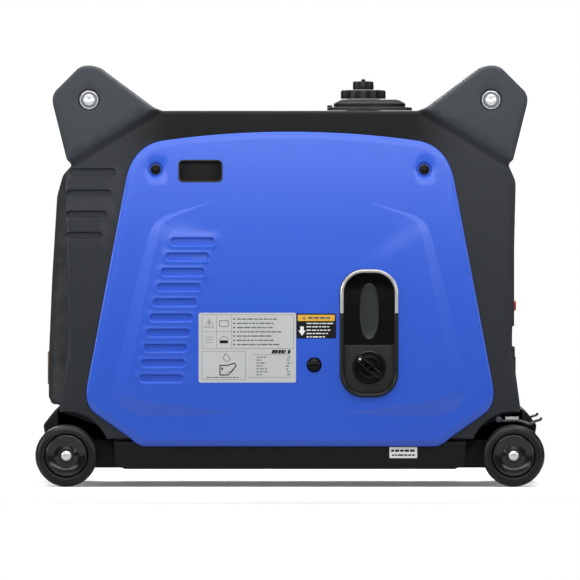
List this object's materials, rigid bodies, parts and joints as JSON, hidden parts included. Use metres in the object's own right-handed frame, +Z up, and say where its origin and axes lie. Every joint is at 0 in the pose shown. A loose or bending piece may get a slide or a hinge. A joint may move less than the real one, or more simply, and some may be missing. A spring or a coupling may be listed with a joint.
{
  "type": "inverter generator",
  "caption": "Closed-case wheeled inverter generator with corner ears and cross carrying bars, recoil starter pocket, top fuel filler, foot brake and socket panel.",
  "frame": {"origin": "on the ground under the middle of the case", "axes": "+X along the case towards the control end, -Y out of the starter side, +Z up"},
  "size_m": [0.607, 0.432, 0.502],
  "materials": {
    "shell_black": "satin, fine moulded grain",
    "cover_blue": "satin gloss",
    "deep_black": "fine matt",
    "tyre_black": "smooth tread",
    "hub_black": "satin",
    "bright_steel": "zinc plated",
    "dark_steel": "black coated",
    "cast_metal": "as cast",
    "hot_steel": "heat tinted",
    "copper_winding": "enamelled wire",
    "soft_rubber": "matt",
    "panel_grey": "fine matt",
    "button_red": "gloss",
    "tank_white": "satin",
    "rope_grey": "braided cord"
  },
  "bodies": {
    "root": {"base_tray": "shell_black", "side_shell_near": "shell_black", "side_shell_far": "shell_black", "top_cover": "shell_black", "exhaust_end_cover": "shell_black", "control_end_cover": "shell_black", "side_cover_near": "cover_blue", "side_cover_far": "cover_blue", "finger_pull": "deep_black", "starter_pocket": "deep_black", "carry_bar_left": "dark_steel", "axle_left": "bright_steel", "ear_bolt_near_left": "bright_steel", "cover_screw_near_left": "dark_steel", "ear_bolt_far_left": "bright_steel", "cover_screw_far_left": "dark_steel", "carry_bar_right": "dark_steel", "axle_right": "bright_steel", "ear_bolt_near_right": "bright_steel", "cover_screw_near_right": "dark_steel", "ear_bolt_far_right": "bright_steel", "cover_screw_far_right": "dark_steel", "filler_collar": "deep_black", "fuel_tank": "tank_white", "recoil_housing": "cast_metal", "starter_rope": "rope_grey", "alternator_stator": "copper_winding", "crankcase": "cast_metal", "cylinder_head": "cast_metal", "muffler": "hot_steel", "carburettor": "cast_metal", "air_filter_box": "deep_black", "inverter_module": "cast_metal", "battery": "deep_black", "engine_mount_front": "soft_rubber", "engine_mount_rear": "soft_rubber", "control_panel": "panel_grey"},
    "wheel_near_left": {"tyre_near_left": "tyre_black", "hub_near_left": "hub_black"},
    "wheel_far_left": {"tyre_far_left": "tyre_black", "hub_far_left": "hub_black"},
    "wheel_near_right": {"tyre_near_right": "tyre_black", "hub_near_right": "hub_black"},
    "wheel_far_right": {"tyre_far_right": "tyre_black", "hub_far_right": "hub_black"},
    "brake_near": {"brake_lever_near": "dark_steel"},
    "brake_far": {"brake_lever_far": "dark_steel"},
    "filler_seal": {"fuel_cap_gasket": "soft_rubber"},
    "filler_cap": {"fuel_cap": "deep_black"},
    "vent": {"vent_knob": "deep_black"},
    "grip": {"starter_grip": "deep_black"},
    "pulley": {"recoil_pulley": "deep_black"},
    "dial": {"engine_dial": "deep_black"},
    "primer": {"primer_bulb": "soft_rubber"},
    "crank": {"flywheel_rotor": "cast_metal", "crankshaft": "bright_steel"},
    "starter_key": {"start_switch": "deep_black"},
    "economy": {"economy_switch": "deep_black"},
    "reset": {"reset_button": "button_red"},
    "flap": {"outlet_cover": "deep_black"}
  },
  "joints": [
    {"name": "wheel_near_left_spin", "type": "hinge", "parent": "root", "child": "wheel_near_left", "pos_m": [-0.2665, 0, 0.037], "axis": [0, 1, 0], "continuous": true},
    {"name": "wheel_far_left_spin", "type": "hinge", "parent": "root", "child": "wheel_far_left", "pos_m": [-0.2665, 0, 0.037], "axis": [0, 1, 0], "continuous": true},
    {"name": "wheel_near_right_spin", "type": "hinge", "parent": "root", "child": "wheel_near_right", "pos_m": [0.2665, 0, 0.037], "axis": [0, 1, 0], "continuous": true},
    {"name": "wheel_far_right_spin", "type": "hinge", "parent": "root", "child": "wheel_far_right", "pos_m": [0.2665, 0, 0.037], "axis": [0, 1, 0], "continuous": true},
    {"name": "brake_near_press", "type": "hinge", "parent": "root", "child": "brake_near", "pos_m": [0.2515, 0, 0.0805], "axis": [0, 1, 0], "range_deg": [0, 6]},
    {"name": "brake_far_press", "type": "hinge", "parent": "root", "child": "brake_far", "pos_m": [0.2515, 0, 0.0805], "axis": [0, 1, 0], "range_deg": [0, 6]},
    {"name": "cap_lift", "type": "slide", "parent": "root", "child": "filler_seal", "axis": [0, 0, 1], "range_m": [0, 0.05]},
    {"name": "cap_turn", "type": "hinge", "parent": "filler_seal", "child": "filler_cap", "pos_m": [0.088, 0, 0.465], "axis": [0, 0, 1], "range_deg": [0, 360]},
    {"name": "vent_turn", "type": "hinge", "parent": "filler_cap", "child": "vent", "pos_m": [0.088, 0, 0.48], "axis": [0, 0, 1], "range_deg": [0, 90]},
    {"name": "starter_pull", "type": "slide", "parent": "root", "child": "grip", "axis": [0, -1, 0], "range_m": [0, 0.5], "stiffness_N_per_m": 20, "springref_m": -0.1, "deforming": ["starter_rope"]},
    {"name": "pulley_spin", "type": "hinge", "parent": "root", "child": "pulley", "pos_m": [0.07, 0, 0.183], "axis": [0, 1, 0], "range_deg": [0, 830]},
    {"name": "dial_turn", "type": "hinge", "parent": "root", "child": "dial", "pos_m": [0.0944, 0, 0.1426], "axis": [0, -1, 0], "range_deg": [-90, 0]},
    {"name": "primer_press", "type": "slide", "parent": "root", "child": "primer", "axis": [0, 1, 0], "range_m": [0, 0.004], "stiffness_N_per_m": 300, "springref_m": -0.001},
    {"name": "crank_spin", "type": "hinge", "parent": "root", "child": "crank", "pos_m": [0.07, 0, 0.183], "axis": [0, 1, 0], "continuous": true},
    {"name": "key_turn", "type": "hinge", "parent": "root", "child": "starter_key", "pos_m": [0.26, -0.055, 0.313], "axis": [-1, 0, 0], "range_deg": [0, 60]},
    {"name": "economy_tip", "type": "hinge", "parent": "root", "child": "economy", "pos_m": [0.2555, 0, 0.313], "axis": [0, 1, 0], "range_deg": [-8, 8]},
    {"name": "reset_press", "type": "slide", "parent": "root", "child": "reset", "axis": [-1, 0, 0], "range_m": [0, 0.003], "stiffness_N_per_m": 300, "springref_m": -0.001},
    {"name": "flap_swing", "type": "hinge", "parent": "root", "child": "flap", "pos_m": [0.2648, 0, 0.165], "axis": [0, -1, 0], "range_deg": [0, 90]}
  ],
  "couplings": [
    {"joint": "pulley_spin", "follows": "starter_pull", "rad_per_m": 28.571}
  ]
}
